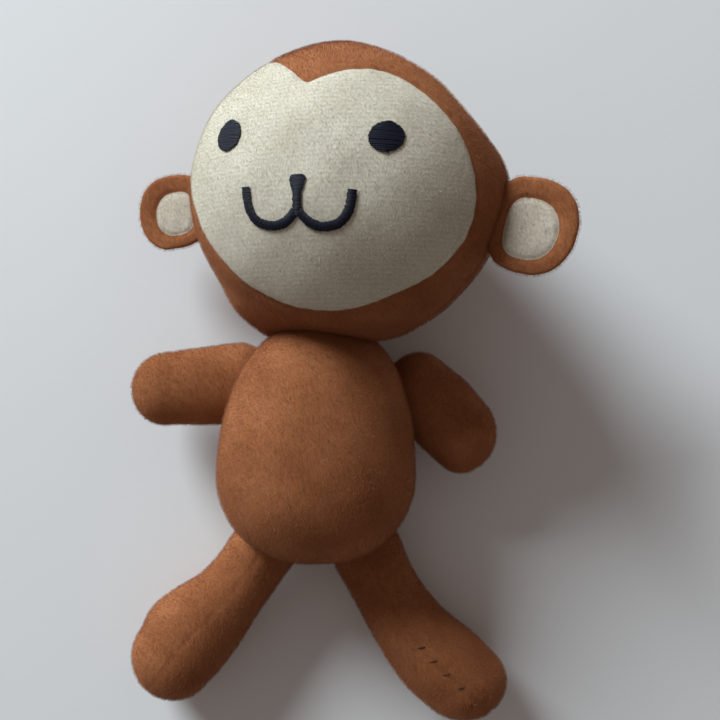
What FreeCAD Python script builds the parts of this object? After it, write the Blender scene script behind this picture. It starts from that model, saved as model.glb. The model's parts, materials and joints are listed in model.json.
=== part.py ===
import FreeCAD, Part
import math
import os

# Small plush monkey doll, lying on its back. Millimetres. +Z is up out of the
# belly, +Y runs toward the head and +X toward the doll's own left side.

Vector = FreeCAD.Vector
Rotation = FreeCAD.Rotation
Placement = FreeCAD.Placement

doc = FreeCAD.newDocument("PlushMonkey")
sheet = doc.addObject("Spreadsheet::Sheet", "Sizes")

SIZES = [
    # Fabric: velboa, its pile counted in the thickness.
    ("fabric", 1.4), ("thread_raise", 0.6), ("joint_gap", 0.4),
    # Head: half widths along its own left, crown and face directions.
    ("head_half_width", 39.0), ("head_half_height", 35.5), ("head_half_depth", 31.0),
    ("head_x", -3.6), ("head_y", 40.0), ("head_z", 31.2),
    ("head_turn", -18.5), ("head_nod", 2.0), ("head_roll", -4.0),
    # Cream face panel: two brow lobes over one cheek-and-chin oval.
    ("lobe_x", 13.0), ("lobe_y", 4.0), ("lobe_half_width", 20.0), ("lobe_half_height", 20.5),
    ("cheek_y", -5.2), ("cheek_half_width", 35.5), ("cheek_half_height", 24.3),
    # Embroidery.
    ("eye_x", 18.0), ("eye_y", 8.0), ("eye_half_width", 3.7), ("eye_half_height", 3.5),
    ("nose_top_y", -0.6), ("nose_tip_y", -5.2), ("nose_half_width", 2.5), ("stroke", 2.3),
    ("stem_end_y", -9.2), ("mouth_x", 6.0), ("mouth_y", -4.0),
    ("mouth_half_width", 7.2), ("mouth_half_height", 9.0),
    # Ears: D-shaped flaps hinged on the head's side seam.
    ("ear_y", -6.0), ("ear_tilt", 10.7), ("ear_reach", 16.3), ("ear_half_height", 11.0),
    ("ear_half_width", 11.0), ("ear_patch_reach", 12.6), ("ear_patch_half_height", 7.2),
    ("ear_patch_half_width", 7.9), ("ear_sheet", 1.6), ("ear_hinge_gap", 1.3),
    # Torso: a long upper half egg and a short lower one.
    ("torso_x", -10.5), ("torso_waist_y", -28.0), ("torso_z", 21.6),
    ("torso_half_width", 25.2), ("torso_half_depth", 22.0),
    ("torso_upper_length", 36.0), ("torso_lower_length", 21.8),
    # Neck pivot, seat radius in the head, and the stuffing wad at the pivot.
    ("neck_x", -8.8), ("neck_y", -4.0), ("neck_z", 22.5), ("neck_seat", 14.9), ("neck_wad", 6.0),
    # Arms.
    ("arm_half_length", 13.6), ("arm_half_width", 9.6), ("arm_half_depth", 7.5),
    ("arm_centre", 5.2), ("hand_centre", 9.4), ("hand_half_length", 9.2),
    ("arm_left_x", 21.3), ("arm_left_y", -12.7), ("arm_right_x", -40.2), ("arm_right_y", -6.4),
    ("arm_z", 15.1), ("arm_left_angle", -38.0), ("arm_right_angle", 184.0),
    ("arm_wad", 4.6),
    # Legs.
    ("shank_half_length", 19.5), ("shank_half_width", 8.8), ("shank_centre", 12.0),
    ("foot_half_length", 14.5), ("foot_half_width", 11.6), ("foot_half_depth", 10.9),
    ("foot_centre", 31.8), ("foot_offset", 1.2),
    ("leg_left_x", 4.8), ("leg_left_y", -52.8), ("leg_right_x", -26.6), ("leg_right_y", -52.4),
    ("leg_z", 11.5), ("leg_left_angle", -50.0), ("leg_right_angle", -130.0), ("leg_slope", 1.3),
    ("leg_wad", 4.2),
    # Stitches.
    ("stitch_length", 3.0), ("stitch_radius", 0.45), ("stitch_pitch", 5.5),
    ("stitch_clear", 0.12),
]

for row, (word, value) in enumerate(SIZES, start=1):
    sheet.set("A%d" % row, word)
    sheet.set("B%d" % row, repr(value))
    sheet.setAlias("B%d" % row, word)
doc.recompute()

REACH = 60.0      # half size of the blocks that split a skin into its panels
subparts = []


def size(word):
    """A driving size read back from the sheet."""
    return float(getattr(sheet, word))


def bound(kind, name, settings):
    """A Part primitive whose properties are bound to the sheet."""
    item = doc.addObject(kind, name)
    for prop, formula in settings.items():
        item.setExpression(prop, formula)
    return item


def words(formula):
    """The formula with every driving size named as a cell of the sheet."""
    for word, _ in sorted(SIZES, key=lambda pair: -len(pair[0])):
        formula = formula.replace("<" + word + ">", "Sizes." + word)
    return formula


def ellipsoid(name, place, half_x, half_y, half_z, low=-90, high=90):
    """Ellipsoid with its three half sizes; low and high cut it across its Z."""
    item = bound("Part::Ellipsoid", name, {
        "Radius1": words(half_z), "Radius2": words(half_x), "Radius3": words(half_y)})
    item.Angle1 = low
    item.Angle2 = high
    item.Angle3 = 360
    item.Placement = place
    return item


def lengthwise(name, place, half_x, half_y, half_z, seam):
    """Ellipsoid whose poles lie on its Y and whose seam faces its +X or -X end."""
    turn = Rotation(Vector(1, 0, 0), -90)
    if seam < 0:
        turn = Rotation(Vector(0, 1, 0), 180).multiply(turn)
    return ellipsoid(name, local(place, 0, 0, 0, turn), half_x, half_z, half_y)


def block(name, place, length, width, height):
    """Box centred on the placement in X and Y, standing on it in Z."""
    item = bound("Part::Box", name, {
        "Length": words(length), "Width": words(width), "Height": words(height)})
    doc.recompute()
    corner = Vector(-item.Length.Value / 2, -item.Width.Value / 2, 0)
    item.Placement = place.multiply(Placement(corner, Rotation()))
    return item


def oval_prism(name, place, half_x, half_y, height):
    """Straight prism over an ellipse, rising from the placement along its Z."""
    turned = size_of(half_y) > size_of(half_x)
    major, minor = (half_y, half_x) if turned else (half_x, half_y)
    base = bound("Part::Ellipse", name + "_outline", {
        "MajorRadius": words(major), "MinorRadius": words(minor)})
    spin = Rotation(Vector(0, 0, 1), 90 if turned else 0)
    base.Placement = place.multiply(Placement(Vector(), spin))
    prism = doc.addObject("Part::Extrusion", name)
    prism.Base = base
    prism.DirMode = "Custom"
    prism.Dir = place.Rotation.multVec(Vector(0, 0, 1))
    prism.setExpression("LengthFwd", words(height))
    prism.Solid = True
    return prism


def size_of(formula):
    """The number a formula over the sheet comes to."""
    probe = doc.addObject("App::FeaturePython", "Probe")
    probe.addProperty("App::PropertyFloat", "Result")
    probe.setExpression("Result", words(formula))
    doc.recompute()
    result = probe.Result
    doc.removeObject(probe.Name)
    return result


def cut(name, base, tool):
    item = doc.addObject("Part::Cut", name)
    item.Base = base
    item.Tool = tool
    return item


def fuse(name, shapes):
    item = doc.addObject("Part::MultiFuse", name)
    item.Shapes = shapes
    return item


def common(name, shapes):
    item = doc.addObject("Part::MultiCommon", name)
    item.Shapes = shapes
    return item


def keep(node, item):
    """Declares an item as the sub-part with this node name."""
    item.Label = node
    subparts.append((node, item))
    return item


def at(x, y, z, rotation=None):
    return Placement(Vector(x, y, z), rotation or Rotation())


def local(frame, x, y, z, rotation=None):
    return frame.multiply(at(x, y, z, rotation))


def above_floor(name, item):
    """The item with whatever would reach below the floor taken off flat."""
    ground = block(name + "_ground", at(0, 0, -REACH * 2), "400", "400", "120")
    return cut(name, item, ground)


HEAD = Placement(Vector(size("head_x"), size("head_y"), size("head_z")),
                 Rotation(size("head_roll"), size("head_turn"), size("head_nod")))
TORSO = at(size("torso_x"), size("torso_waist_y"), size("torso_z"), Rotation(Vector(1, 0, 0), -90))
NECK = at(size("neck_x"), size("neck_y"), size("neck_z"))


def half_block(name, place):
    """Block over the placement's +Z side, used to keep one half of a skin."""
    return block(name, place, "120", "120", "60")


def back_quarter(name, place, sign):
    """Block behind the placement and to one side of it, for one back panel."""
    return block(name, local(place, sign * REACH / 2, 0, -REACH), "60", "120", "60")


def head_solid(name, grow):
    """The head's outline, grown by a formula."""
    return ellipsoid(name, HEAD, "<head_half_width>" + grow, "<head_half_height>" + grow,
                     "<head_half_depth>" + grow)


def neck_seat(name, formula="<neck_seat>"):
    return bound_sphere(name, NECK, formula)


def bound_sphere(name, place, radius):
    item = bound("Part::Sphere", name, {"Radius": words(radius)})
    item.Placement = place
    return item


def build_head():
    """Head skin in four panels over one stuffing, with the neck's seat cut in."""
    skin = cut("head_skin", head_solid("head_outside", ""), head_solid("head_inside", " - <fabric>"))
    skin = cut("head_skin_open", above_floor("head_skin_flat", skin), neck_seat("neck_hole"))
    lobes = []
    for side, sign in (("left", 1), ("right", -1)):
        lobe_place = local(HEAD, sign * size("lobe_x"), size("lobe_y"), 0)
        lobes.append(oval_prism("brow_" + side, lobe_place, "<lobe_half_width>",
                                "<lobe_half_height>", "40"))
    cheek = oval_prism("cheeks", local(HEAD, 0, size("cheek_y"), 0), "<cheek_half_width>",
                       "<cheek_half_height>", "40")
    heart = fuse("face_outline", lobes + [cheek])
    keep("face_panel", common("face_panel", [skin, heart]))
    front = common("head_front_half", [skin, half_block("head_front_block", HEAD)])
    keep("head_front_panel", cut("head_front_panel", front, heart))
    for side, sign in (("left", 1), ("right", -1)):
        node = "head_back_%s_panel" % side
        keep(node, common(node, [skin, back_quarter(node + "_block", HEAD, sign)]))
    keep("head_stuffing",
         cut("head_stuffing", head_solid("head_core", " - <fabric>"), neck_seat("neck_cup")))


def thread_layer(name):
    """Thin raised layer over the face that the embroidery is taken from."""
    return cut(name, head_solid(name + "_top", " + <thread_raise>"), head_solid(name + "_foot", ""))


def build_face():
    """Satin-stitched eyes, nose with its stem, and the mouth's double curve."""
    for side, sign in (("left", 1), ("right", -1)):
        place = local(HEAD, sign * size("eye_x"), size("eye_y"), 0)
        oval = oval_prism("eye_%s_oval" % side, place, "<eye_half_width>", "<eye_half_height>", "40")
        node = "eye_%s_embroidery" % side
        keep(node, common(node, [thread_layer("eye_%s_layer" % side), oval]))

    # The nose is a wedge wide at its top edge, narrowing to the stem.
    wedge = bound("Part::Wedge", "nose_wedge", {
        "Xmin": words("-<stroke>/2"), "Xmax": words("<stroke>/2"),
        "Zmin": "0", "Zmax": "40", "Ymin": words("<nose_tip_y>"), "Ymax": words("<nose_top_y>"),
        "X2min": words("-<nose_half_width>"), "X2max": words("<nose_half_width>"),
        "Z2min": "0", "Z2max": "40"})
    wedge.Placement = HEAD
    stem = block("nose_stem", local(HEAD, 0, (size("nose_tip_y") + size("stem_end_y")) / 2, 0),
                 "<stroke>", "<nose_tip_y> - <stem_end_y>", "40")
    nose = fuse("nose_outline", [wedge, stem])
    keep("nose_embroidery", common("nose_embroidery", [thread_layer("nose_layer"), nose]))

    curves = []
    for side, sign in (("left", 1), ("right", -1)):
        place = local(HEAD, sign * size("mouth_x"), size("mouth_y"), 0)
        outer = oval_prism("mouth_%s_outer" % side, place, "<mouth_half_width>",
                           "<mouth_half_height>", "40")
        inner = oval_prism("mouth_%s_inner" % side, place, "<mouth_half_width> - <stroke>",
                           "<mouth_half_height> - <stroke>", "40")
        curves.append(cut("mouth_%s_ring" % side, outer, inner))
    rings = fuse("mouth_rings", curves)
    upper = block("mouth_upper", local(HEAD, 0, size("mouth_y") + 20, 0), "60", "40", "40")
    lower = cut("mouth_lower", rings, upper)
    centre = block("mouth_centre", local(HEAD, 0, size("stem_end_y") + 6, 0), "6", "12", "40")
    keep("mouth_embroidery",
         common("mouth_embroidery", [thread_layer("mouth_layer"), cut("mouth_curve", lower, centre)]))


def ear_frame(sign):
    """Hinge point on the side seam: X points out of the head, Y along the seam."""
    fall = math.sqrt(1 - (size("ear_y") / size("head_half_height")) ** 2)
    out = size("head_half_width") * fall + size("ear_hinge_gap")
    turn = Rotation(Vector(0, 0, 1), -size("ear_tilt") * sign)
    flip = Rotation() if sign > 0 else Rotation(Vector(0, 0, 1), 180)
    return local(HEAD, sign * out, size("ear_y"), 0, turn.multiply(flip))


def build_ears():
    """Each ear: front and back panels and the cream patch let into the front."""
    for side, sign in (("left", 1), ("right", -1)):
        frame = ear_frame(sign)
        name = "ear_" + side
        outline_x = size("ear_reach") - size("ear_half_width")
        patch_x = size("ear_patch_reach") - size("ear_patch_half_width")
        root = block(name + "_root", local(frame, -20, 0, -10), "40", "60", "20")
        back_place = local(frame, outline_x, 0, -size("ear_sheet"))
        back = oval_prism(name + "_back_oval", back_place, "<ear_half_width>", "<ear_half_height>",
                          "<ear_sheet>")
        keep(name + "_back", cut(name + "_back", back, root))
        front = oval_prism(name + "_front_oval", local(frame, outline_x, 0, 0), "<ear_half_width>",
                           "<ear_half_height>", "<ear_sheet>")
        rim = cut(name + "_rim", front, root)
        for node in (name + "_window", name + "_inner"):
            patch = oval_prism(node + "_oval", local(frame, patch_x, 0, 0),
                               "<ear_patch_half_width>", "<ear_patch_half_height>", "<ear_sheet>")
            if node.endswith("_window"):
                keep(name + "_front", cut(name + "_front", rim, patch))
            else:
                keep(node, cut(node, patch, root))


def torso_solid(name, shrink):
    """The torso's egg: a long half toward the neck, a short half toward the hips."""
    upper = ellipsoid(name + "_upper", TORSO, "<torso_half_width>" + shrink,
                      "<torso_half_depth>" + shrink, "<torso_upper_length>" + shrink, 0, 90)
    lower = ellipsoid(name + "_lower", TORSO, "<torso_half_width>" + shrink,
                      "<torso_half_depth>" + shrink, "<torso_lower_length>" + shrink, -90, 0)
    return fuse(name, [upper, lower])


def build_torso():
    """Belly panel, two back panels, the stuffing and the closing stitches."""
    hollow = torso_solid("torso_inside", " - <fabric>")
    skin = above_floor("torso_skin_flat", cut("torso_skin", torso_solid("torso_outside", ""), hollow))
    middle = at(size("torso_x"), size("torso_waist_y"), size("torso_z"))
    keep("belly_panel", common("belly_panel", [skin, half_block("belly_block", middle)]))
    for side, sign in (("left", 1), ("right", -1)):
        node = "back_%s_panel" % side
        keep(node, common(node, [skin, back_quarter(node + "_block", middle, sign)]))
    room = bound_sphere("neck_wad_room", NECK, "<neck_wad> + <joint_gap>")
    keep("torso_stuffing", cut("torso_stuffing", torso_solid("torso_core", " - <fabric>"), room))
    keep("neck_wad", bound_sphere("neck_wad", NECK, "<neck_wad>"))


def arm_frame(side):
    """Shoulder pivot, X along the arm toward the hand, Z up."""
    angle = size("arm_%s_angle" % side)
    place = Vector(size("arm_%s_x" % side), size("arm_%s_y" % side), size("arm_z"))
    return Placement(place, Rotation(Vector(0, 0, 1), angle))


def arm_egg(name, frame, shrink):
    """The long flattened egg that most of an arm is."""
    away = Rotation(Vector(0, 0, 1), 180)
    return ellipsoid(name + "_along", local(frame, size("arm_centre"), 0, 0, away),
                     "<arm_half_length>" + shrink, "<arm_half_width>" + shrink,
                     "<arm_half_depth>" + shrink)


def arm_solid(name, frame, shrink):
    """The arm's egg with a blunt hand over its end."""
    along = arm_egg(name, frame, shrink)
    hand = ellipsoid(name + "_hand", local(frame, size("hand_centre"), 0, 0),
                     "<hand_half_length>" + shrink, "<arm_half_width> - 0.4" + shrink,
                     "<arm_half_depth> - 0.2" + shrink)
    return fuse(name, [along, hand])


def build_arms():
    """Each arm: front and back panels round one stuffing, with the root wad."""
    for side in ("left", "right"):
        frame = arm_frame(side)
        name = "arm_" + side
        skin = cut(name + "_skin", arm_solid(name + "_outside", frame, ""),
                   arm_solid(name + "_inside", frame, " - <fabric>"))
        down = frame.multiply(Placement(Vector(), Rotation(Vector(1, 0, 0), 180)))
        keep(name + "_front_panel",
             common(name + "_front_panel", [skin, half_block(name + "_front_block", frame)]))
        keep(name + "_back_panel",
             common(name + "_back_panel", [skin, half_block(name + "_back_block", down)]))
        room = bound_sphere(name + "_wad_room", at(*frame.Base), "<arm_wad> + <joint_gap>")
        keep(name + "_stuffing",
             cut(name + "_stuffing", arm_egg(name + "_core", frame, " - <fabric>"), room))
        keep("shoulder_%s_wad" % side,
             bound_sphere("shoulder_%s_wad" % side, at(*frame.Base), "<arm_wad>"))


def leg_frame(side):
    """Hip pivot, X along the leg toward the foot and slightly down."""
    place = Vector(size("leg_%s_x" % side), size("leg_%s_y" % side), size("leg_z"))
    turn = Rotation(Vector(0, 0, 1), size("leg_%s_angle" % side))
    return Placement(place, turn.multiply(Rotation(Vector(0, 1, 0), size("leg_slope"))))


def leg_solid(name, frame, outward, shrink):
    """Shank and foot as two overlapping eggs; the foot stands to the outer side."""
    shank = lengthwise(name + "_shank", local(frame, size("shank_centre"), 0, 0),
                       "<shank_half_length>" + shrink, "<shank_half_width>" + shrink,
                       "<shank_half_width>" + shrink, -1)
    foot_place = local(frame, size("foot_centre"), outward * size("foot_offset"), 0)
    foot = lengthwise(name + "_foot", foot_place, "<foot_half_length>" + shrink,
                      "<foot_half_width>" + shrink, "<foot_half_depth>" + shrink, 1)
    return fuse(name, [shank, foot])


def build_legs():
    """Each leg: inner and outer panels meeting along the front, and stuffing."""
    for side, outward in (("left", 1), ("right", -1)):
        frame = leg_frame(side)
        name = "leg_" + side
        skin = cut(name + "_skin", leg_solid(name + "_outside", frame, outward, ""),
                   leg_solid(name + "_inside", frame, outward, " - <fabric>"))
        skin = above_floor(name + "_skin_flat", skin)
        for panel, sign in (("outer", outward), ("inner", -outward)):
            tip = Rotation(Vector(1, 0, 0), -90 * sign)
            half = half_block("%s_%s_block" % (name, panel), local(frame, 20, 0, 0, tip))
            node = "%s_%s_panel" % (name, panel)
            keep(node, common(node, [skin, half]))
        room = bound_sphere(name + "_wad_room", at(*frame.Base), "<leg_wad> + <joint_gap>")
        keep(name + "_stuffing",
             cut(name + "_stuffing", leg_solid(name + "_core", frame, outward, " - <fabric>"), room))
        keep("hip_%s_wad" % side, bound_sphere("hip_%s_wad" % side, at(*frame.Base), "<leg_wad>"))


def foot_top(along):
    """Height and slope of the foot's surface over the leg's seam line, in the leg's frame."""
    run = (along - size("foot_centre")) / size("foot_half_length")
    across = size("foot_offset") / size("foot_half_width")
    rise = math.sqrt(1 - run * run - across * across)
    slope = size("foot_half_depth") / size("foot_half_length") * run / rise
    return size("foot_half_depth") * rise, slope


def build_stitches():
    """Hand stitches laid across the front seam of the left foot, just clear of the fabric."""
    frame = leg_frame("left")
    rods = []
    for count in range(4):
        along = size("foot_centre") + size("stitch_pitch") * (count - 1.2)
        height, slope = foot_top(along)
        height += (size("stitch_radius") + size("stitch_clear")) * math.hypot(1, slope)
        rod = bound("Part::Cylinder", "stitch_%d" % count, {
            "Radius": "Sizes.stitch_radius", "Height": "Sizes.stitch_length"})
        rod.Placement = local(frame, along, -size("stitch_length") / 2, height,
                              Rotation(Vector(1, 0, 0), -90))
        rods.append(rod)
    keep("leg_left_stitches", fuse("leg_left_stitches", rods))


def check_parts():
    """Stops the build at any object in error and any sub-part without a solid."""
    for item in doc.Objects:
        if "Invalid" in item.State or "Error" in item.State:
            raise RuntimeError("%s did not build: %s" % (item.Label, item.State))
    for node, item in subparts:
        shape = item.Shape
        print("%-26s solids %d  volume %9.1f" % (node, len(shape.Solids), shape.Volume))
    for node, item in subparts:
        if item.Shape.isNull() or not item.Shape.isValid() or not item.Shape.Solids:
            raise RuntimeError("%s has no valid solid" % node)


def centre_on_origin():
    """Moves every sub-part so the doll lies centred over the origin, lowest point at 0."""
    whole = FreeCAD.BoundBox()
    for _, item in subparts:
        whole.add(item.Shape.optimalBoundingBox(False, False))
    shift = Vector(-(whole.XMin + whole.XMax) / 2, -(whole.YMin + whole.YMax) / 2, -whole.ZMin)
    for _, item in subparts:
        item.Placement = Placement(shift, Rotation()).multiply(item.Placement)
    return shift


def write_parts():
    os.makedirs("parts", exist_ok=True)
    for node, item in subparts:
        item.Shape.exportStep("parts/%s.step" % node)


build_head()
build_face()
build_ears()
build_torso()
build_arms()
build_legs()
build_stitches()
doc.recompute()
check_parts()
print("moved by %.4f %.4f %.4f" % tuple(centre_on_origin()))
write_parts()
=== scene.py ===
import json
import math

import bpy
import numpy as np
from mathutils import Matrix, Vector
from mathutils.bvhtree import BVHTree
from mathutils.kdtree import KDTree


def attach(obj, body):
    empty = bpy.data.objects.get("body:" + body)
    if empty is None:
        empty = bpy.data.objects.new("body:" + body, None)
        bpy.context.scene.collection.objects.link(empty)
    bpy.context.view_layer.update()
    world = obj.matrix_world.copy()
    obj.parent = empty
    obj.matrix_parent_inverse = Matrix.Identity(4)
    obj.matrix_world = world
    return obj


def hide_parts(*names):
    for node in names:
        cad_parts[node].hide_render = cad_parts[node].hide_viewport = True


# Small plush monkey doll lying on its back. Metres; MM turns millimetres into them.
MM = 0.001
SIM_SCALE = 8.0        # cloth is simulated this many times larger, where it is stable
HAIR_PER_MM2 = 10.0

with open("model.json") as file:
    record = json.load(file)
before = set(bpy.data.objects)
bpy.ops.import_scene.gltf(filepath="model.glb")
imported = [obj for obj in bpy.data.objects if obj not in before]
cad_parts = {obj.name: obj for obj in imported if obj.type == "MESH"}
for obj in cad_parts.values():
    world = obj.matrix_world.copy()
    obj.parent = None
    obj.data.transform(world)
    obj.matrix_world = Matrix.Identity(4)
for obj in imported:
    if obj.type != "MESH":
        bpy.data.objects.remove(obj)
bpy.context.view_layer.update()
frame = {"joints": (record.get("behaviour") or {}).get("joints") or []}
PIVOT = {j["name"]: Vector(j["pos_m"]) for j in frame["joints"]}
NECK = PIVOT["neck_turn"]
rng = np.random.default_rng(7)


def mm(x, y, z):
    return Vector((x * MM, y * MM, z * MM))


# ---------------------------------------------------------------- materials

def tree(name):
    mat = bpy.data.materials.new(name)
    mat.use_nodes = True
    nodes = mat.node_tree.nodes
    return mat, nodes, mat.node_tree.links, nodes["Principled BSDF"]


def noise_node(nodes, links, coords, scale, detail=3.0, stretch=None):
    """Noise over the object's own coordinates, stretched along an axis if asked."""
    source = coords
    if stretch:
        mapping = nodes.new("ShaderNodeMapping")
        mapping.inputs["Scale"].default_value = stretch
        links.new(coords, mapping.inputs["Vector"])
        source = mapping.outputs["Vector"]
    node = nodes.new("ShaderNodeTexNoise")
    node.inputs["Scale"].default_value = scale
    node.inputs["Detail"].default_value = detail
    links.new(source, node.inputs["Vector"])
    return node.outputs["Fac"]


def ramp_node(nodes, links, fac, stops):
    node = nodes.new("ShaderNodeValToRGB")
    ramp = node.color_ramp
    while len(ramp.elements) < len(stops):
        ramp.elements.new(0.5)
    for element, (place, colour) in zip(ramp.elements, stops):
        element.position = place
        element.color = (*colour, 1.0)
    links.new(fac, node.inputs["Fac"])
    return node.outputs["Color"]


def mix_node(nodes, links, kind, fac, a, b):
    node = nodes.new("ShaderNodeMix")
    node.data_type = "RGBA"
    node.blend_type = kind
    node.inputs["Factor"].default_value = fac
    links.new(a, node.inputs["A"])
    links.new(b, node.inputs["B"])
    return node.outputs["Result"]


def plush(name, dark, middle, light, knit=0.0, sheen=0.35):
    """Velboa: blotchy laid pile over a fine knit, with a soft sheen."""
    mat, nodes, links, shader = tree(name)
    coords = nodes.new("ShaderNodeTexCoord").outputs["Object"]
    patches = noise_node(nodes, links, coords, 85.0, 3.0)
    tufts = noise_node(nodes, links, coords, 2400.0, 3.0, (1.0, 0.6, 1.0))
    broad = ramp_node(nodes, links, patches, [(0.32, dark), (0.5, middle), (0.7, light)])
    fine = ramp_node(nodes, links, tufts, [(0.28, (0.72,) * 3), (0.52, (1.0,) * 3), (0.75, (1.22,) * 3)])
    colour = mix_node(nodes, links, "MULTIPLY", 0.7, broad, fine)
    height = tufts
    if knit:
        wave = nodes.new("ShaderNodeTexWave")
        wave.wave_type = "BANDS"
        wave.bands_direction = "Y"
        wave.inputs["Scale"].default_value = 320.0
        wave.inputs["Distortion"].default_value = 2.2
        wave.inputs["Detail"].default_value = 2.0
        wave.inputs["Detail Scale"].default_value = 2.0
        links.new(coords, wave.inputs["Vector"])
        rows = ramp_node(nodes, links, wave.outputs["Fac"], [(0.0, (0.86,) * 3), (1.0, (1.03,) * 3)])
        colour = mix_node(nodes, links, "MULTIPLY", knit, colour, rows)
    links.new(colour, shader.inputs["Base Color"])
    bump = nodes.new("ShaderNodeBump")
    bump.inputs["Strength"].default_value = 0.4
    bump.inputs["Distance"].default_value = 0.12 * MM
    links.new(height, bump.inputs["Height"])
    links.new(bump.outputs["Normal"], shader.inputs["Normal"])
    shader.inputs["Roughness"].default_value = 0.92
    shader.inputs["Specular IOR Level"].default_value = 0.18
    shader.inputs["Sheen Weight"].default_value = sheen
    shader.inputs["Sheen Roughness"].default_value = 0.45
    shader.inputs["Sheen Tint"].default_value = (*light, 1.0)
    return mat


def pile(name, dark, light, shine=0.25):
    """The single fibres of the pile, each a slightly different shade."""
    mat, nodes, links, shader = tree(name)
    info = nodes.new("ShaderNodeHairInfo")
    colour = ramp_node(nodes, links, info.outputs["Random"], [(0.0, dark), (1.0, light)])
    links.new(colour, shader.inputs["Base Color"])
    shader.inputs["Roughness"].default_value = 0.6
    shader.inputs["Specular IOR Level"].default_value = shine
    return mat


def thread(name, colour, shine):
    """Embroidery or sewing thread: twisted fibres with a tight gloss."""
    mat, nodes, links, shader = tree(name)
    coords = nodes.new("ShaderNodeTexCoord").outputs["Object"]
    twist = noise_node(nodes, links, coords, 3200.0, 2.0)
    tone = ramp_node(nodes, links, twist, [
        (0.3, tuple(c * 0.55 for c in colour)), (0.55, colour), (0.8, tuple(c * 1.9 for c in colour))])
    links.new(tone, shader.inputs["Base Color"])
    bump = nodes.new("ShaderNodeBump")
    bump.inputs["Strength"].default_value = 0.5
    bump.inputs["Distance"].default_value = 0.08 * MM
    links.new(twist, bump.inputs["Height"])
    links.new(bump.outputs["Normal"], shader.inputs["Normal"])
    shader.inputs["Roughness"].default_value = 0.55
    shader.inputs["Specular IOR Level"].default_value = shine
    return mat


BROWN = plush("brown_velboa", (0.25, 0.085, 0.032), (0.30, 0.108, 0.042), (0.355, 0.135, 0.056))
CREAM = plush("cream_velboa", (0.57, 0.52, 0.42), (0.615, 0.57, 0.465), (0.66, 0.62, 0.515), knit=0.5)
CREAM_EAR = plush("cream_velboa_ear", (0.50, 0.44, 0.35), (0.54, 0.48, 0.39), (0.58, 0.53, 0.44))
BROWN_PILE = pile("brown_pile", (0.27, 0.095, 0.036), (0.40, 0.16, 0.066))
CREAM_PILE = pile("cream_pile", (0.52, 0.48, 0.39), (0.62, 0.585, 0.49))
NAVY = thread("navy_embroidery", (0.006, 0.008, 0.020), 0.28)
STITCH = thread("sewing_thread", (0.030, 0.014, 0.009), 0.4)


# ---------------------------------------------------------------- mesh tools

def ring_mesh(rows, cols, point, panel):
    """Closed skin from rings between two poles. point(i, j) gives a place, panel(i, j)
    the number of the fabric panel a face belongs to. Rows count from pole to pole."""
    verts = [point(0, 0)]
    for i in range(1, rows):
        verts += [point(i, j) for j in range(cols)]
    verts.append(point(rows, 0))

    def index(i, j):
        if i == 0:
            return 0
        if i == rows:
            return len(verts) - 1
        return 1 + (i - 1) * cols + j % cols

    faces, panels = [], []
    for i in range(rows):
        for j in range(cols):
            a, b, c, d = index(i, j), index(i + 1, j), index(i + 1, j + 1), index(i, j + 1)
            if i == 0:
                face = (a, b, c)
            elif i == rows - 1:
                face = (a, b, d)
            else:
                face = (a, b, c, d)
            faces.append(face)
            panels.append(panel(i, j))
    return np.array([tuple(v) for v in verts]), faces, panels


def seam_vertices(faces, panels):
    """Vertices where two panels meet."""
    seen = {}
    seams = set()
    for face, number in zip(faces, panels):
        for v in face:
            if seen.setdefault(v, number) != number:
                seams.add(v)
    return sorted(seams)


def make_mesh(name, verts, faces, panels=None):
    mesh = bpy.data.meshes.new(name)
    mesh.from_pydata([tuple(v) for v in verts], [], faces)
    if panels is not None:
        mesh.polygons.foreach_set("material_index", np.array(panels, dtype=np.int32))
    mesh.update()
    obj = bpy.data.objects.new(name, mesh)
    bpy.context.scene.collection.objects.link(obj)
    return obj


def coordinates(mesh):
    flat = np.empty(len(mesh.vertices) * 3)
    mesh.vertices.foreach_get("co", flat)
    return flat.reshape(-1, 3)


def evaluated(obj):
    """The object's mesh after its modifiers: vertices, faces and panel numbers."""
    graph = bpy.context.evaluated_depsgraph_get()
    shown = obj.evaluated_get(graph)
    mesh = shown.to_mesh()
    verts = coordinates(mesh).copy()
    faces = [tuple(p.vertices) for p in mesh.polygons]
    panels = [p.material_index for p in mesh.polygons]
    shown.to_mesh_clear()
    return verts, faces, panels


def discard(obj):
    mesh = obj.data
    bpy.data.objects.remove(obj)
    bpy.data.meshes.remove(mesh)


def puff(name, verts, faces, pinned, cap, pressure=4.0, frames=18):
    """Stuffs a skin: cloth under pressure, held at its seams. No point moves past cap."""
    obj = make_mesh(name + "_cloth", verts * SIM_SCALE, faces)
    group = obj.vertex_groups.new(name="seams")
    group.add([int(v) for v in pinned], 1.0, "REPLACE")
    cloth = obj.modifiers.new("cloth", "CLOTH")
    settings = cloth.settings
    settings.quality = 5
    settings.mass = 0.25
    settings.air_damping = 2.0
    settings.tension_stiffness = 18.0
    settings.compression_stiffness = 12.0
    settings.shear_stiffness = 6.0
    settings.bending_stiffness = 0.6
    settings.vertex_group_mass = "seams"
    settings.use_pressure = True
    settings.uniform_pressure_force = pressure
    settings.effector_weights.gravity = 0.0
    cloth.collision_settings.use_collision = False
    cloth.point_cache.frame_start = 1
    cloth.point_cache.frame_end = frames
    scene = bpy.context.scene
    for number in range(1, frames + 1):
        scene.frame_set(number)
    moved, _, _ = evaluated(obj)
    scene.frame_set(1)
    discard(obj)
    step = smooth_field(moved / SIM_SCALE - verts, faces, 14)
    length = np.linalg.norm(step, axis=1, keepdims=True)
    return verts + step * np.minimum(1.0, cap * MM / np.maximum(length, 1e-9))


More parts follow.
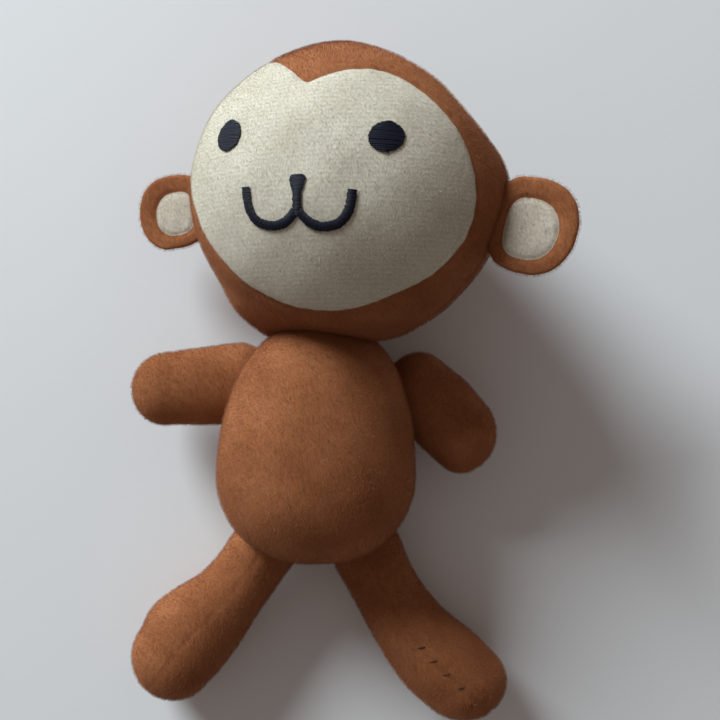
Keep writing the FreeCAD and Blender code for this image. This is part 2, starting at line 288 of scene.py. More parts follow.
def smooth_field(field, faces, times):
    """Evens out a value per vertex over its neighbours, so no crumples are left."""
    pairs = np.array([(f[k], f[(k + 1) % len(f)]) for f in faces for k in range(len(f))])
    count = np.zeros(len(field))
    np.add.at(count, pairs[:, 0], 1)
    np.add.at(count, pairs[:, 1], 1)
    for _ in range(times):
        total = np.zeros_like(field)
        np.add.at(total, pairs[:, 0], field[pairs[:, 1]])
        np.add.at(total, pairs[:, 1], field[pairs[:, 0]])
        field = 0.5 * field + 0.5 * total / count[:, None]
    return field


def refine(name, verts, faces, panels, levels):
    obj = make_mesh(name + "_fine", verts, faces, panels)
    while len(obj.data.materials) <= max(panels):
        obj.data.materials.append(None)
    smooth = obj.modifiers.new("smooth", "SUBSURF")
    smooth.levels = levels
    result = evaluated(obj)
    discard(obj)
    return result


def vertex_normals(verts, faces):
    normal = np.zeros_like(verts)
    quads = np.array([f if len(f) == 4 else (*f, f[2]) for f in faces])
    a, b, c, d = (verts[quads[:, k]] for k in range(4))
    facing = np.cross(c - a, d - b)
    for k in range(4):
        np.add.at(normal, quads[:, k], facing)
    return normal / np.maximum(np.linalg.norm(normal, axis=1, keepdims=True), 1e-12)


def wavy(points, scale, seed):
    """Smooth pseudo-random field between -1 and 1, from a few slanted waves."""
    local = np.random.default_rng(seed)
    total = np.zeros(len(points))
    for _ in range(6):
        direction = local.normal(size=3)
        direction /= np.linalg.norm(direction)
        total += np.sin(points @ direction / (scale * MM) * 2 * math.pi * local.uniform(0.7, 1.4)
                        + local.uniform(0, 6.28))
    return total / 3.5


def seam_detail(verts, faces, panels, depth, width, pucker, seed):
    """Draws the skin in along its seams and puckers it there, with slight lumps all over."""
    seams = seam_vertices(faces, panels)
    normal = vertex_normals(verts, faces)
    out = verts + normal * (wavy(verts, 16.0, seed) * 0.16 * MM)[:, None]
    if seams:
        kd = KDTree(len(seams))
        for v in seams:
            kd.insert(Vector(verts[v]), v)
        kd.balance()
        near = np.array([kd.find(Vector(v))[2] for v in verts])
        groove = -depth * MM * np.exp(-(near / (width * MM)) ** 2)
        folds = pucker * MM * np.exp(-near / (2.6 * MM)) * wavy(verts, 3.4, seed + 1)
        out = out + normal * (groove + folds)[:, None]
    return out


def panel_object(name, verts, faces, panels, number, material):
    """One fabric panel of a skin as its own piece."""
    chosen = [f for f, p in zip(faces, panels) if p == number]
    used = sorted({v for f in chosen for v in f})
    place = {v: k for k, v in enumerate(used)}
    obj = make_mesh(name, verts[used], [tuple(place[v] for v in f) for f in chosen])
    obj.data.polygons.foreach_set("use_smooth", np.ones(len(chosen), dtype=bool))
    obj.data.materials.append(material)
    return obj


def grow_pile(obj, material, nap, length=0.7, lean=0.75, density=1.0, seed=1):
    """Short fibres over a piece, laid along the nap. They move with the piece."""
    mesh = obj.data
    mesh.calc_loop_triangles()
    count = len(mesh.loop_triangles)
    corners = np.empty(count * 3, dtype=np.int32)
    mesh.loop_triangles.foreach_get("vertices", corners)
    corners = corners.reshape(-1, 3)
    verts = coordinates(mesh)
    normals = np.empty(len(verts) * 3)
    mesh.vertices.foreach_get("normal", normals)
    normals = normals.reshape(-1, 3)
    a, b, c = (verts[corners[:, k]] for k in range(3))
    area = np.linalg.norm(np.cross(b - a, c - a), axis=1) / 2
    local = np.random.default_rng(seed)
    amount = int(area.sum() / MM ** 2 * HAIR_PER_MM2 * density)
    chosen = local.choice(count, amount, p=area / area.sum())
    u, v = local.random(amount), local.random(amount)
    flip = u + v > 1
    u[flip], v[flip] = 1 - u[flip], 1 - v[flip]
    w = 1 - u - v
    mix = np.stack([w, u, v], axis=1)
    root = sum(mix[:, k:k + 1] * verts[corners[chosen, k]] for k in range(3))
    up = sum(mix[:, k:k + 1] * normals[corners[chosen, k]] for k in range(3))
    up /= np.linalg.norm(up, axis=1, keepdims=True)
    flow = nap(root) + local.normal(size=(amount, 3)) * 0.22
    flow -= up * (flow * up).sum(axis=1, keepdims=True)
    flow /= np.maximum(np.linalg.norm(flow, axis=1, keepdims=True), 1e-9)
    reach = (length * MM * local.uniform(0.65, 1.15, amount))[:, None]
    bend = (lean * local.uniform(0.6, 1.3, amount))[:, None]
    points = np.empty((amount, 3, 3))
    points[:, 0] = root - up * 0.12 * MM
    points[:, 1] = root + reach * (up * 0.45 + flow * 0.22 * bend)
    points[:, 2] = root + reach * (up * 0.72 + flow * 0.72 * bend)
    hair = bpy.data.hair_curves.new(obj.name + "_pile")
    hair.add_curves([3] * amount)
    hair.attributes["position"].data.foreach_set("vector", points.astype(np.float32).ravel())
    radius = hair.attributes.get("radius") or hair.attributes.new("radius", "FLOAT", "POINT")
    thick = np.tile(np.array([0.014, 0.012, 0.006]) * MM, amount)
    radius.data.foreach_set("value", thick.astype(np.float32))
    hair.materials.append(material)
    fibres = bpy.data.objects.new(obj.name + "_pile", hair)
    bpy.context.scene.collection.objects.link(fibres)
    fibres.parent = obj
    return fibres


def finish_piece(obj, body, nodes, slot):
    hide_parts(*nodes)
    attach(obj, body)


def toward(direction):
    direction = np.array(direction, dtype=float)

    def nap(points):
        return np.tile(direction, (len(points), 1))
    return nap


# ---------------------------------------------------------------- head

HEAD_CENTRE = NECK + mm(5.2, 44.0, 8.7)
HEAD_TURN = (Matrix.Rotation(math.radians(-4.0), 4, "Z")
             @ Matrix.Rotation(math.radians(-18.5), 4, "Y")
             @ Matrix.Rotation(math.radians(2.0), 4, "X"))
HEAD = Matrix.Translation(HEAD_CENTRE) @ HEAD_TURN
HEAD_HALF = (38.6, 35.2, 30.8)
SHRINK = 0.7           # the skin starts this much inside its stuffed size


# The face panel's edge in the head's own X-Y plane, in mm, from the notch between the brow
# lobes round by the doll's left cheek and the chin. The doll's right lobe is cut fuller.
FACE_EDGE = ((-1.7, 20.2), (3.0, 22.7), (8.0, 24.3), (14.0, 24.4), (19.5, 22.2), (24.8, 18.6),
             (29.9, 13.6), (33.5, 7.4), (35.3, 0.5), (35.2, -6.0), (33.0, -12.7), (28.3, -18.7),
             (21.8, -23.4), (13.6, -27.2), (5.4, -29.3), (-2.6, -29.2), (-10.0, -27.2),
             (-17.2, -23.7), (-23.0, -18.8), (-28.5, -12.5), (-33.3, -4.5), (-36.0, 3.0),
             (-35.0, 11.5), (-31.0, 18.8), (-25.8, 25.0), (-20.0, 28.6), (-14.5, 28.6),
             (-8.0, 25.0), (-1.7, 20.2))
FACE_LIMIT = 1.42      # the panel stops short of the side seam


def smooth_line(points, steps):
    """Points along a smooth line through the given ones, ends included."""
    control = np.array(points, dtype=float)
    dense = []
    for k in range(len(control) - 1):
        p0, p1 = control[max(k - 1, 0)], control[k]
        p2, p3 = control[k + 1], control[min(k + 2, len(control) - 1)]
        for t in np.linspace(0, 1, steps, endpoint=False):
            dense.append(0.5 * (2 * p1 + (p2 - p0) * t + (2 * p0 - 5 * p1 + 4 * p2 - p3) * t * t
                                + (3 * p1 - p0 - 3 * p2 + p3) * t ** 3))
    dense.append(control[-1])
    return np.array(dense)


def face_edge_table():
    line = smooth_line(FACE_EDGE, 16)
    angle = np.degrees(np.arctan2(line[:, 1], line[:, 0])) % 360
    order = np.argsort(angle)
    return angle[order], np.hypot(line[:, 0], line[:, 1])[order]


EDGE_ANGLE, EDGE_RADIUS = face_edge_table()


def heart_radius(angle):
    """Distance to the face panel's edge from the face's middle, in the head's X-Y plane."""
    return float(np.interp(math.degrees(angle) % 360, EDGE_ANGLE, EDGE_RADIUS, period=360))


def heart_polar(angle):
    """How far round from the face's middle the panel's edge is, as a polar angle."""
    low, high = 0.2, FACE_LIMIT
    for _ in range(40):
        u = (low + high) / 2
        x, y = (HEAD_HALF[0] * math.sin(u) * math.cos(angle), HEAD_HALF[1] * math.sin(u) * math.sin(angle))
        if math.hypot(x, y) < heart_radius(math.atan2(y, x)):
            low = u
        else:
            high = u
    return low


def ramp(low, high, x):
    """0 below low, 1 above high, smooth between."""
    t = min(1.0, max(0.0, (x - low) / (high - low)))
    return t * t * (3 - 2 * t)


def bump(angle, middle, spread):
    """Rounded bump over an angle in degrees."""
    away = (math.degrees(angle) - middle + 180) % 360 - 180
    return math.exp(-(away / spread) ** 2)


def head_fullness(angle, z):
    """The head is not quite an egg: behind the face it draws in toward the crown, is widest
    at the ears, and runs down into the neck."""
    behind = (1 - ramp(-3, 13, z)) * (0.25 + 0.75 * ramp(-28, -10, z))
    low = (1 - ramp(4, 15, z)) * ramp(-26, -10, z)
    crown = -0.22 * bump(angle, 52, 25) - 0.05 * bump(angle, 132, 28) + 0.05 * bump(angle, 98, 16)
    ears = 0.035 * (bump(angle, 5, 16) + bump(angle, 175, 16))
    neck = 0.15 * bump(angle, 245, 18) + 0.04 * bump(angle, 290, 22)
    return 1 + (crown + ears) * behind + neck * low


FACE_RINGS, BAND_RINGS, BACK_RINGS, HEAD_COLUMNS = 26, 9, 30, 128


def head_skin():
    edge = [heart_polar(2 * math.pi * j / HEAD_COLUMNS) for j in range(HEAD_COLUMNS)]

    def point(i, j):
        angle = 2 * math.pi * j / HEAD_COLUMNS
        if i <= FACE_RINGS:
            u = edge[j] * i / FACE_RINGS
        elif i <= FACE_RINGS + BAND_RINGS:
            u = edge[j] + (math.pi / 2 - edge[j]) * (i - FACE_RINGS) / BAND_RINGS
        else:
            u = math.pi / 2 * (1 + (i - FACE_RINGS - BAND_RINGS) / BACK_RINGS)
        z = (HEAD_HALF[2] - SHRINK) * math.cos(u)
        wide = math.sin(u) * head_fullness(angle, z)
        x, y = (HEAD_HALF[0] - SHRINK) * wide * math.cos(angle), (HEAD_HALF[1] - SHRINK) * wide * math.sin(angle)
        # Under the chin the fabric is drawn back to the neck.
        z -= 8.0 * ramp(28, 38, -y) * ramp(-16, 6, z)
        return HEAD @ mm(x, y, z)

    def panel(i, j):
        if i < FACE_RINGS:
            return 0
        if i < FACE_RINGS + BAND_RINGS:
            return 1
        quarter = HEAD_COLUMNS // 4
        return 2 if (j < quarter or j >= 3 * quarter) else 3
    return ring_mesh(FACE_RINGS + BAND_RINGS + BACK_RINGS, HEAD_COLUMNS, point, panel)


def flatten_floor(verts, soft=0.6):
    """Presses a skin flat where it rests, without letting it pass under the floor."""
    low = soft * MM
    z = verts[:, 2]
    pressed = np.where(z < low, low * np.exp((z - low) / low), z)
    out = verts.copy()
    out[:, 2] = np.maximum(pressed, 0.05 * MM)
    return out


def build_head():
    verts, faces, panels = head_skin()
    pinned = seam_vertices(faces, panels)
    verts = puff("head", verts, faces, pinned, cap=1.5)
    verts, faces, panels = refine("head", verts, faces, panels, 2)
    verts = seam_detail(verts, faces, panels, 0.45, 0.8, 0.10, 11)
    verts = flatten_floor(verts)
    names = (("face", 0, CREAM, CREAM_PILE, ["face_panel"], "cream_plush"),
             ("head_band", 1, BROWN, BROWN_PILE, ["head_front_panel"], "brown_plush"),
             ("head_back_left", 2, BROWN, BROWN_PILE, ["head_back_left_panel", "head_stuffing"], "brown_plush"),
             ("head_back_right", 3, BROWN, BROWN_PILE, ["head_back_right_panel"], "brown_plush"))
    for k, (name, number, material, fibres, nodes, slot) in enumerate(names):
        obj = panel_object(name, verts, faces, panels, number, material)
        finish_piece(obj, "head", nodes, slot)
        length = 0.42 if number == 0 else 0.7
        grow_pile(obj, fibres, toward((0.1, -1.0, 0.0)), length=length, seed=20 + k)
    return BVHTree.FromPolygons([Vector(v) for v in verts], faces)


# ---------------------------------------------------------------- embroidery

def on_face(surface, x, y, lift):
    """Place on the face over (x, y) of the head's own plane, lifted off the cloth."""
    start = HEAD @ mm(x, y, 60.0)
    down = (HEAD_TURN @ Vector((0, 0, -1, 0))).to_3d()
    place, normal, _, _ = surface.ray_cast(start, down)
    return place + normal * lift * MM, normal


def satin(name, surface, rungs, node, width=0.40):
    """Satin stitch: one raised thread for each rung (x0, y0, x1, y1) of the shape."""
    verts, faces = [], []
    along_steps, round_steps = 7, 5
    for x0, y0, x1, y1 in rungs:
        jitter = rng.uniform(-0.10, 0.10, 4)
        x0, y0, x1, y1 = x0 + jitter[0], y0 + jitter[1], x1 + jitter[2], y1 + jitter[3]
        base = len(verts)
        for i in range(along_steps):
            t = i / (along_steps - 1)
            arch = math.sin(math.pi * min(max(t, 0.04), 0.96)) ** 0.5
            centre, normal = on_face(surface, x0 + (x1 - x0) * t, y0 + (y1 - y0) * t, 0.10 + 0.42 * arch)
            ahead, _ = on_face(surface, x0 + (x1 - x0) * (t + 0.05), y0 + (y1 - y0) * (t + 0.05),
                               0.10 + 0.42 * arch)
            side = (ahead - centre).cross(normal).normalized()
            for k in range(round_steps):
                a = math.pi * k / (round_steps - 1)
                offset = side * math.cos(a) * width / 2 * MM + normal * (math.sin(a) * 0.30 - 0.12) * MM
                verts.append(centre + offset)
        for i in range(along_steps - 1):
            for k in range(round_steps - 1):
                p = base + i * round_steps + k
                faces.append((p, p + round_steps, p + round_steps + 1, p + 1))
    obj = make_mesh(name, [tuple(v) for v in verts], faces)
    obj.data.polygons.foreach_set("use_smooth", np.ones(len(faces), dtype=bool))
    obj.data.materials.append(NAVY)
    finish_piece(obj, "head", [node], "embroidery_thread")
    return obj


THREAD_STEP = 0.24


def oval_rungs(cx, cy, rx, ry):
    count = int(2 * ry / THREAD_STEP)
    rungs = []
    for k in range(count + 1):
        y = -ry + 2 * ry * k / count
        half = rx * math.sqrt(max(0.0, 1 - (y / (ry * 1.03)) ** 2))
        rungs.append((cx - half, cy + y, cx + half, cy + y))
    return rungs


def path_rungs(points, half):
    """Rungs across a smooth line through the points, half as wide as given."""
    dense = smooth_line(points, 24)
    gaps = np.linalg.norm(np.diff(dense, axis=0), axis=1)
    run = np.concatenate([[0], np.cumsum(gaps)])
    count = int(run[-1] / THREAD_STEP)
    rungs = []
    for s in np.linspace(0, run[-1], count):
        x, y = np.interp(s, run, dense[:, 0]), np.interp(s, run, dense[:, 1])
        x2, y2 = np.interp(s + 0.4, run, dense[:, 0]), np.interp(s + 0.4, run, dense[:, 1])
        x1, y1 = np.interp(s - 0.4, run, dense[:, 0]), np.interp(s - 0.4, run, dense[:, 1])
        dx, dy = x2 - x1, y2 - y1
        size = math.hypot(dx, dy) or 1.0
        nx, ny = -dy / size * half, dx / size * half
        rungs.append((x - nx, y - ny, x + nx, y + ny))
    return rungs


def build_embroidery(surface):
    satin("eye_left", surface, oval_rungs(17.7, 8.1, 3.45, 3.2), "eye_left_embroidery")
    satin("eye_right", surface, oval_rungs(-18.7, 8.6, 3.45, 3.4), "eye_right_embroidery")
    nose = []
    top, tip, end = -0.7, -4.4, -9.0
    y = top
    while y > end:
        t = min(1.0, (top - y) / (top - tip))
        corner = 0.8 * max(0.0, 1 - (top - y) / 0.9) ** 2
        half = 2.15 - 1.15 * t ** 0.9 - corner
        nose.append((-half + 0.2, y, half + 0.2, y))
        y -= THREAD_STEP
    satin("nose", surface, nose, "nose_embroidery")
    left = [(11.9, -3.5), (11.4, -7.2), (9.6, -10.0), (6.4, -11.1), (3.2, -10.5), (0.7, -8.3)]
    right = [(-12.2, -3.3), (-11.6, -7.4), (-9.6, -10.2), (-6.1, -11.2), (-2.7, -10.5), (-0.4, -8.3)]
    satin("mouth", surface, path_rungs(left, 0.98) + path_rungs(right, 0.98), "mouth_embroidery")


# ---------------------------------------------------------------- ears

EAR_RINGS, EAR_COLUMNS, PATCH_RINGS = 14, 64, 8
# For each ear: reach beyond its middle, half height, height of the middle above the hinge,
# then the patch's middle, reach, root side and half height.
EAR_SHAPE = {"left": (9.9, 11.3, 0.0, (5.3, -0.9), 6.6, 5.6, 6.9),
             "right": (8.9, 9.7, 1.2, (4.6, 0.6), 5.4, 5.4, 5.4)}
EAR_MIDDLE, EAR_ROOT = 6.6, 11.0


def ear_edge(angle, reach, root, half):
    """Polar distance to a D-shaped edge: round outside, flatter beside the head."""
    dx, dy = math.cos(angle), math.sin(angle)
    across, power = (reach, 2.15) if dx > 0 else (root, 3.2)
    return (abs(dx / across) ** power + abs(dy / half) ** power) ** (-1 / power)


def build_ear(side):
    sign = 1 if side == "left" else -1
    reach, half, rise, (patch_u, patch_v), patch_reach, patch_root, patch_half = EAR_SHAPE[side]
    hinge = PIVOT["ear_%s_fold" % side]
    turn = HEAD_TURN @ Matrix.Rotation(math.radians(-10.7 * sign), 4, "Z")
    place = Matrix.Translation(hinge) @ turn
    patch_ring = PATCH_RINGS

    def point(i, j):
        angle = 2 * math.pi * j / EAR_COLUMNS
        rim = ear_edge(angle, reach, EAR_ROOT, half)
        patch = ear_edge(angle, patch_reach, patch_root, patch_half)
        front = i <= EAR_RINGS
        k = i if front else 2 * EAR_RINGS - i
        inner = np.array((patch_u + patch * math.cos(angle), patch_v + patch * math.sin(angle)))
        outer = np.array((EAR_MIDDLE + rim * math.cos(angle), rise + rim * math.sin(angle)))
        if k <= patch_ring:
            middle = np.array((patch_u, patch_v))
            u, v = middle + (inner - middle) * k / patch_ring
        else:
            u, v = inner + (outer - inner) * (k - patch_ring) / (EAR_RINGS - patch_ring)
        share = min(1.0, math.hypot(u - EAR_MIDDLE, v - rise)
                    / ear_edge(math.atan2(v - rise, u - EAR_MIDDLE), reach, EAR_ROOT, half))
        thick = 1.6 * max(0.0, 1 - share ** 4) ** 0.5
        cup = 1.4 * share ** 2
        w = cup + (thick if front else -thick)
        return place @ mm(sign * u, v, w)

    def panel(i, j):
        if i < patch_ring:
            return 0
        return 1 if i < EAR_RINGS else 2
    verts, faces, panels = ring_mesh(2 * EAR_RINGS, EAR_COLUMNS, point, panel)
    if sign < 0:
        faces = [tuple(reversed(f)) for f in faces]
    verts = puff("ear_" + side, verts, faces, seam_vertices(faces, panels), cap=0.6, pressure=2.0)
    verts, faces, panels = refine("ear_" + side, verts, faces, panels, 2)
    verts = seam_detail(verts, faces, panels, 0.35, 0.7, 0.10, 31 + sign)
    body = "ear_" + side
    pieces = (("ear_%s_patch" % side, 0, CREAM_EAR, CREAM_PILE, ["ear_%s_inner" % side], "cream_plush"),
              ("ear_%s_rim" % side, 1, BROWN, BROWN_PILE, ["ear_%s_front" % side], "brown_plush"),
              ("ear_%s_rear" % side, 2, BROWN, BROWN_PILE, ["ear_%s_back" % side], "brown_plush"))
    for k, (name, number, material, fibres, nodes, slot) in enumerate(pieces):
        obj = panel_object(name, verts, faces, panels, number, material)
        finish_piece(obj, body, nodes, slot)
        grow_pile(obj, fibres, toward((0.0, -1.0, 0.2)), length=0.55 if number == 0 else 0.8,
                  seed=40 + k + sign)


# ---------------------------------------------------------------- torso

TORSO_RINGS, TORSO_COLUMNS = 72, 96


def build_torso():
    centre = NECK + mm(-1.7, -24.0, -0.9)

    def point(i, j):
        polar = math.pi * i / TORSO_RINGS
        angle = 2 * math.pi * j / TORSO_COLUMNS
        along = math.cos(polar)
        upper = along > 0
        length = 37.6 if upper else 21.9
        fullness = 0.84 if upper else 0.86
        width = max(0.0, math.sin(polar)) ** fullness
        half_width, half_depth = (25.2 - SHRINK) * width, (21.8 - SHRINK) * width
        lean = 1.2 * max(0.0, along) - 0.4
        lift = 3.5 * max(0.0, along) ** 2
        return centre + mm(half_width * math.cos(angle) + lean, length * along,
                           half_depth * math.sin(angle) + lift)

    def panel(i, j):
        if j < TORSO_COLUMNS // 2:
            return 0
        return 1 if j >= 3 * TORSO_COLUMNS // 4 else 2
    verts, faces, panels = ring_mesh(TORSO_RINGS, TORSO_COLUMNS, point, panel)
    faces = [tuple(reversed(f)) for f in faces]
    pinned = seam_vertices(faces, panels)
    verts = puff("torso", verts, faces, pinned, cap=1.4)
    verts, faces, panels = refine("torso", verts, faces, panels, 2)
    verts = seam_detail(verts, faces, panels, 0.5, 0.9, 0.16, 51)
    verts = flatten_floor(verts)
    pieces = (("belly", 0, ["belly_panel", "torso_stuffing"]), ("back_left", 1, ["back_left_panel"]),
              ("back_right", 2, ["back_right_panel"]))
    for k, (name, number, nodes) in enumerate(pieces):
        obj = panel_object(name, verts, faces, panels, number, BROWN)
        finish_piece(obj, "torso", nodes, "brown_plush")
        grow_pile(obj, BROWN_PILE, toward((0.1, -1.0, 0.0)), seed=60 + k)


# ---------------------------------------------------------------- limbs

def limb_skin(frame_matrix, stations, rings, columns, panel, power=2.0):
    """Skin of a limb from stations (along, side, up, half width, half depth), closed at
    both ends. Side is toward the limb's own +Y."""
    table = np.array(stations, dtype=float)
    run = table[:, 0]
    start, end = run[0], run[-1]

    def point(i, j):
        t = 0.5 - 0.5 * math.cos(math.pi * i / rings)
        along = start + (end - start) * t
        row = [smooth_value(run, table[:, k], along) for k in range(1, 5)]
        angle = 2 * math.pi * j / columns
        ca, sa = math.cos(angle), math.sin(angle)
        square = (abs(ca) ** power + abs(sa) ** power) ** (-1 / power)
        return frame_matrix @ mm(along, row[0] + row[2] * ca * square, row[1] + row[3] * sa * square)
    verts, faces, panels = ring_mesh(rings, columns, point, panel)
    return verts, [tuple(reversed(f)) for f in faces], panels


def smooth_value(xs, ys, x):
    """Value at x of a smooth line through the table; widths close roundly at the ends."""
    k = int(np.clip(np.searchsorted(xs, x) - 1, 0, len(xs) - 2))
    t = (x - xs[k]) / (xs[k + 1] - xs[k])
    slope = np.gradient(ys, xs)
    step = xs[k + 1] - xs[k]
    if k == 0 and ys[0] == 0.0 and ys[1] > 0:
        return ys[1] * math.sqrt(max(0.0, 1 - (1 - t) ** 2))
    if k == len(xs) - 2 and ys[-1] == 0.0 and ys[-2] > 0:
        return ys[-2] * math.sqrt(max(0.0, 1 - t ** 2))
    first = 0.0 if (k == 0 or (k == 1 and ys[0] == 0.0)) else slope[k]
    last = 0.0 if (k == len(xs) - 2 or (k == len(xs) - 3 and ys[-1] == 0.0)) else slope[k + 1]
    h = t * t * (3 - 2 * t)
    return (ys[k] * (1 - h) + ys[k + 1] * h + first * step * (t - 2 * t * t + t ** 3)
            + last * step * (t ** 3 - t * t))


def limb_frame(pivot, angle, slope=0.0):
    return (Matrix.Translation(pivot) @ Matrix.Rotation(math.radians(angle), 4, "Z")
            @ Matrix.Rotation(math.radians(slope), 4, "Y"))


def limb_pieces(name, body, verts, faces, panels, pieces, depth, pucker, direction, seed, cap=1.0):
    verts = puff(name, verts, faces, seam_vertices(faces, panels), cap=cap)
    verts, faces, panels = refine(name, verts, faces, panels, 2)
    verts = seam_detail(verts, faces, panels, depth, 0.75, pucker, seed)
    verts = flatten_floor(verts)
    for k, (piece, number, nodes) in enumerate(pieces):
        obj = panel_object(piece, verts, faces, panels, number, BROWN)
        finish_piece(obj, body, nodes, "brown_plush")
        grow_pile(obj, BROWN_PILE, toward(direction), seed=seed + 10 + k)
    return BVHTree.FromPolygons([Vector(v) for v in verts], faces)


def build_arm(side):
    angle = -38.0 if side == "left" else 184.0
    pivot = PIVOT["arm_%s_raise" % side]
    turn = limb_frame(pivot, angle)
    # (along, side, up, half width, half depth); the root is tucked under the torso's edge.
    if side == "left":
        stations = [(-17.0, 0.6, 0, 0, 0), (-9.0, 0.2, 0, 9.2, 7.0), (0.0, -0.8, 0, 9.9, 7.6),
                    (8.0, -1.9, 0, 9.5, 7.2), (16.4, -2.8, 0, 0, 0)]
    else:
        stations = [(-19.0, 0.6, 0, 0, 0), (-10.0, 0.3, 0, 10.2, 7.2), (1.0, 0.2, 0, 9.7, 7.5),
                    (9.2, 0.4, 0, 9.2, 7.2), (17.9, 0.6, 0, 0, 0)]
    columns = 64

    def panel(i, j):
        return 0 if j < columns // 2 else 1
    verts, faces, panels = limb_skin(turn, stations, 52, columns, panel)
    direction = turn.to_3x3() @ Vector((1, 0, 0))
    limb_pieces("arm_" + side, "arm_" + side, verts, faces, panels,
                (("arm_%s_front" % side, 0, ["arm_%s_front_panel" % side, "arm_%s_stuffing" % side]),
                 ("arm_%s_back" % side, 1, ["arm_%s_back_panel" % side])),
                0.3, 0.10, direction, 70 + (1 if side == "left" else 5))


def build_leg(side):
    sign = 1 if side == "left" else -1
    angle = -50.0 if side == "left" else -130.0
    pivot = PIVOT["leg_%s_spread" % side]
    turn = limb_frame(pivot, angle, 1.3)
    # (along, outward, up, half width, half depth)
    if side == "left":
        rows = [(-14.0, 0.6, 1.6, 0, 0), (-5.0, 0.0, 0.8, 9.0, 8.4), (6.5, -2.7, 0.2, 8.5, 8.6),
                (13.0, -3.8, 0.0, 8.9, 8.8), (21.0, -4.2, 0.0, 9.7, 9.4), (29.8, -3.6, 0.0, 10.8, 10.2),
                (37.0, -2.8, 0.0, 10.6, 10.0), (47.6, -1.6, -0.6, 0, 0)]
    else:
        rows = [(-14.0, 1.4, 1.6, 0, 0), (-5.0, 1.2, 0.8, 8.4, 8.2), (6.0, 0.4, 0.2, 8.5, 8.6),
                (12.0, 0.3, 0.0, 9.1, 9.0), (19.0, 1.0, 0.0, 10.8, 9.8), (27.0, 1.5, 0.0, 11.8, 10.4),
                (33.0, 1.0, 0.0, 10.9, 10.0), (43.2, 0.6, -0.6, 0, 0)]
    stations = [(a, sign * o, u, w, d) for a, o, u, w, d in rows]
    columns = 64

    def panel(i, j):
        outer_first = 0 if sign > 0 else 1
        quarter = columns // 4
        return outer_first if (j < quarter or j >= 3 * quarter) else 1 - outer_first
    verts, faces, panels = limb_skin(turn, stations, 84, columns, panel)
    direction = turn.to_3x3() @ Vector((1, 0, 0))
    surface = limb_pieces("leg_" + side, "leg_" + side, verts, faces, panels,
                          (("leg_%s_outer" % side, 0, ["leg_%s_outer_panel" % side, "leg_%s_stuffing" % side]),
                           ("leg_%s_inner" % side, 1, ["leg_%s_inner_panel" % side])),
                          0.3 if side == "left" else 0.08, 0.05, direction, 90 + (1 if side == "left" else 5),
                          cap=0.5)
    if side == "left":
        build_stitches(surface, turn, stations)


def build_stitches(surface, turn, stations):
    """A few dark hand stitches that close the front seam of the left foot."""
    verts, faces = [], []
    steps, around = 7, 6
    table = np.array(stations, dtype=float)
    for k, along in enumerate((20.5, 25.0, 29.5, 34.5)):
        side = smooth_value(table[:, 0], table[:, 1], along)
        base = len(verts)
        for i in range(steps):
            t = i / (steps - 1) - 0.5
            start = turn @ mm(along + t * 0.9, side + t * 1.7, 40.0)
            place, normal, _, _ = surface.ray_cast(start, Vector((0, 0, -1)))
            lift = 0.30 * math.cos(math.pi * t) - 0.10
            centre = place + normal * lift * MM
            run = (turn.to_3x3() @ Vector((0.47, 0.88, 0))).normalized()
            across = run.cross(normal).normalized()
            for j in range(around):
                a = 2 * math.pi * j / around
                verts.append(centre + (across * math.cos(a) + normal * math.sin(a)) * 0.16 * MM)
        for i in range(steps - 1):
            for j in range(around):
                p, q = base + i * around + j, base + i * around + (j + 1) % around
                faces.append((p, q, q + around, p + around))
    obj = make_mesh("leg_left_seam_stitches", [tuple(v) for v in verts], faces)
    obj.data.polygons.foreach_set("use_smooth", np.ones(len(faces), dtype=bool))
    obj.data.materials.append(STITCH)
    finish_piece(obj, "leg_left", ["leg_left_stitches"], "sewing_thread")


def build_wads():
    """The tufts of stuffing at the roots, lumpy balls of white fibre."""
    mat, nodes, links, shader = tree("white_fibre")
    coords = nodes.new("ShaderNodeTexCoord").outputs["Object"]
    lumps = noise_node(nodes, links, coords, 600.0, 4.0)
    links.new(ramp_node(nodes, links, lumps, [(0.3, (0.70, 0.70, 0.68)), (0.7, (0.88, 0.88, 0.86))]),
              shader.inputs["Base Color"])
    shader.inputs["Roughness"].default_value = 0.95
    wads = (("neck_wad", "neck_root", "neck_turn", 5.6),
            ("shoulder_left_wad", "shoulder_left_root", "arm_left_raise", 4.2),
            ("shoulder_right_wad", "shoulder_right_root", "arm_right_raise", 4.2),
            ("hip_left_wad", "hip_left_root", "leg_left_spread", 3.9),
            ("hip_right_wad", "hip_right_root", "leg_right_spread", 3.9))
    for k, (node, body, joint, radius) in enumerate(wads):
        centre = PIVOT[joint]

        def point(i, j):
            u, a = math.pi * i / 20, 2 * math.pi * j / 32
            lump = 1 + 0.05 * math.sin(3 * a + k) * math.sin(u) + 0.04 * math.sin(5 * u + 2 * k)
            r = radius * lump * 0.95
            return centre + mm(r * math.sin(u) * math.cos(a), r * math.sin(u) * math.sin(a), r * math.cos(u))
        verts, faces, _ = ring_mesh(20, 32, point, lambda i, j: 0)
        obj = make_mesh(node + "_fibre", verts, faces)
        obj.data.polygons.foreach_set("use_smooth", np.ones(len(faces), dtype=bool))
        obj.data.materials.append(mat)
        finish_piece(obj, body, [node], "stuffing")


# ---------------------------------------------------------------- floor, light, camera

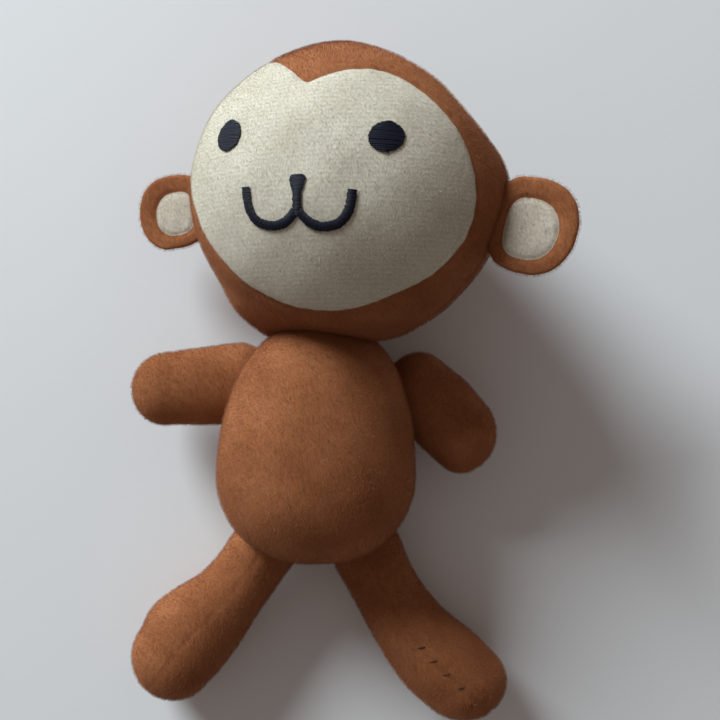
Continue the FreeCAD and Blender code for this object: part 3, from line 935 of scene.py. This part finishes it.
def build_floor():
    mat, nodes, links, shader = tree("white_board")
    coords = nodes.new("ShaderNodeTexCoord").outputs["Object"]
    grain = noise_node(nodes, links, coords, 900.0, 2.0)
    shade = noise_node(nodes, links, coords, 6.0, 2.0)
    links.new(ramp_node(nodes, links, shade, [(0.3, (0.80, 0.82, 0.84)), (0.7, (0.84, 0.855, 0.87))]),
              shader.inputs["Base Color"])
    bump = nodes.new("ShaderNodeBump")
    bump.inputs["Strength"].default_value = 0.15
    bump.inputs["Distance"].default_value = 0.1 * MM
    links.new(grain, bump.inputs["Height"])
    links.new(bump.outputs["Normal"], shader.inputs["Normal"])
    shader.inputs["Roughness"].default_value = 0.45
    shader.inputs["Specular IOR Level"].default_value = 0.35
    half = 1.5
    floor = make_mesh("floor", [(-half, -half, 0), (half, -half, 0), (half, half, 0), (-half, half, 0)],
                      [(0, 1, 2, 3)])
    floor.data.materials.append(mat)


def area_light(name, place, target, size, power, colour):
    lamp = bpy.data.lights.new(name, "AREA")
    lamp.shape = "DISK"
    lamp.size = size
    lamp.energy = power
    lamp.color = colour
    obj = bpy.data.objects.new(name, lamp)
    obj.location = place
    obj.rotation_euler = (Vector(target) - Vector(place)).to_track_quat("-Z", "Y").to_euler()
    bpy.context.scene.collection.objects.link(obj)


def build_light():
    area_light("window", (-0.95, 1.20, 0.70), (0.0, 0.0, 0.0), 0.82, 41.0, (0.88, 0.96, 1.0))
    world = bpy.data.worlds.new("studio")
    world.use_nodes = True
    background = world.node_tree.nodes["Background"]
    background.inputs["Color"].default_value = (1.0, 0.86, 0.79, 1.0)
    background.inputs["Strength"].default_value = 0.19
    bpy.context.scene.world = world
    bpy.context.scene.view_settings.view_transform = "Standard"


def build_camera():
    camera = bpy.data.cameras.new("camera")
    camera.lens = 50.0
    camera.sensor_width = 36.0
    camera.clip_start = 0.01
    obj = bpy.data.objects.new("camera", camera)
    obj.location = (NECK.x + 8.8 * MM, NECK.y + 4.0 * MM, 270.0 * MM)
    bpy.context.scene.collection.objects.link(obj)
    bpy.context.scene.camera = obj


build_camera()
face_surface = build_head()
build_embroidery(face_surface)
for ear_side in ("left", "right"):
    build_ear(ear_side)
build_torso()
for limb_side in ("left", "right"):
    build_arm(limb_side)
    build_leg(limb_side)
build_wads()
build_floor()
build_light()
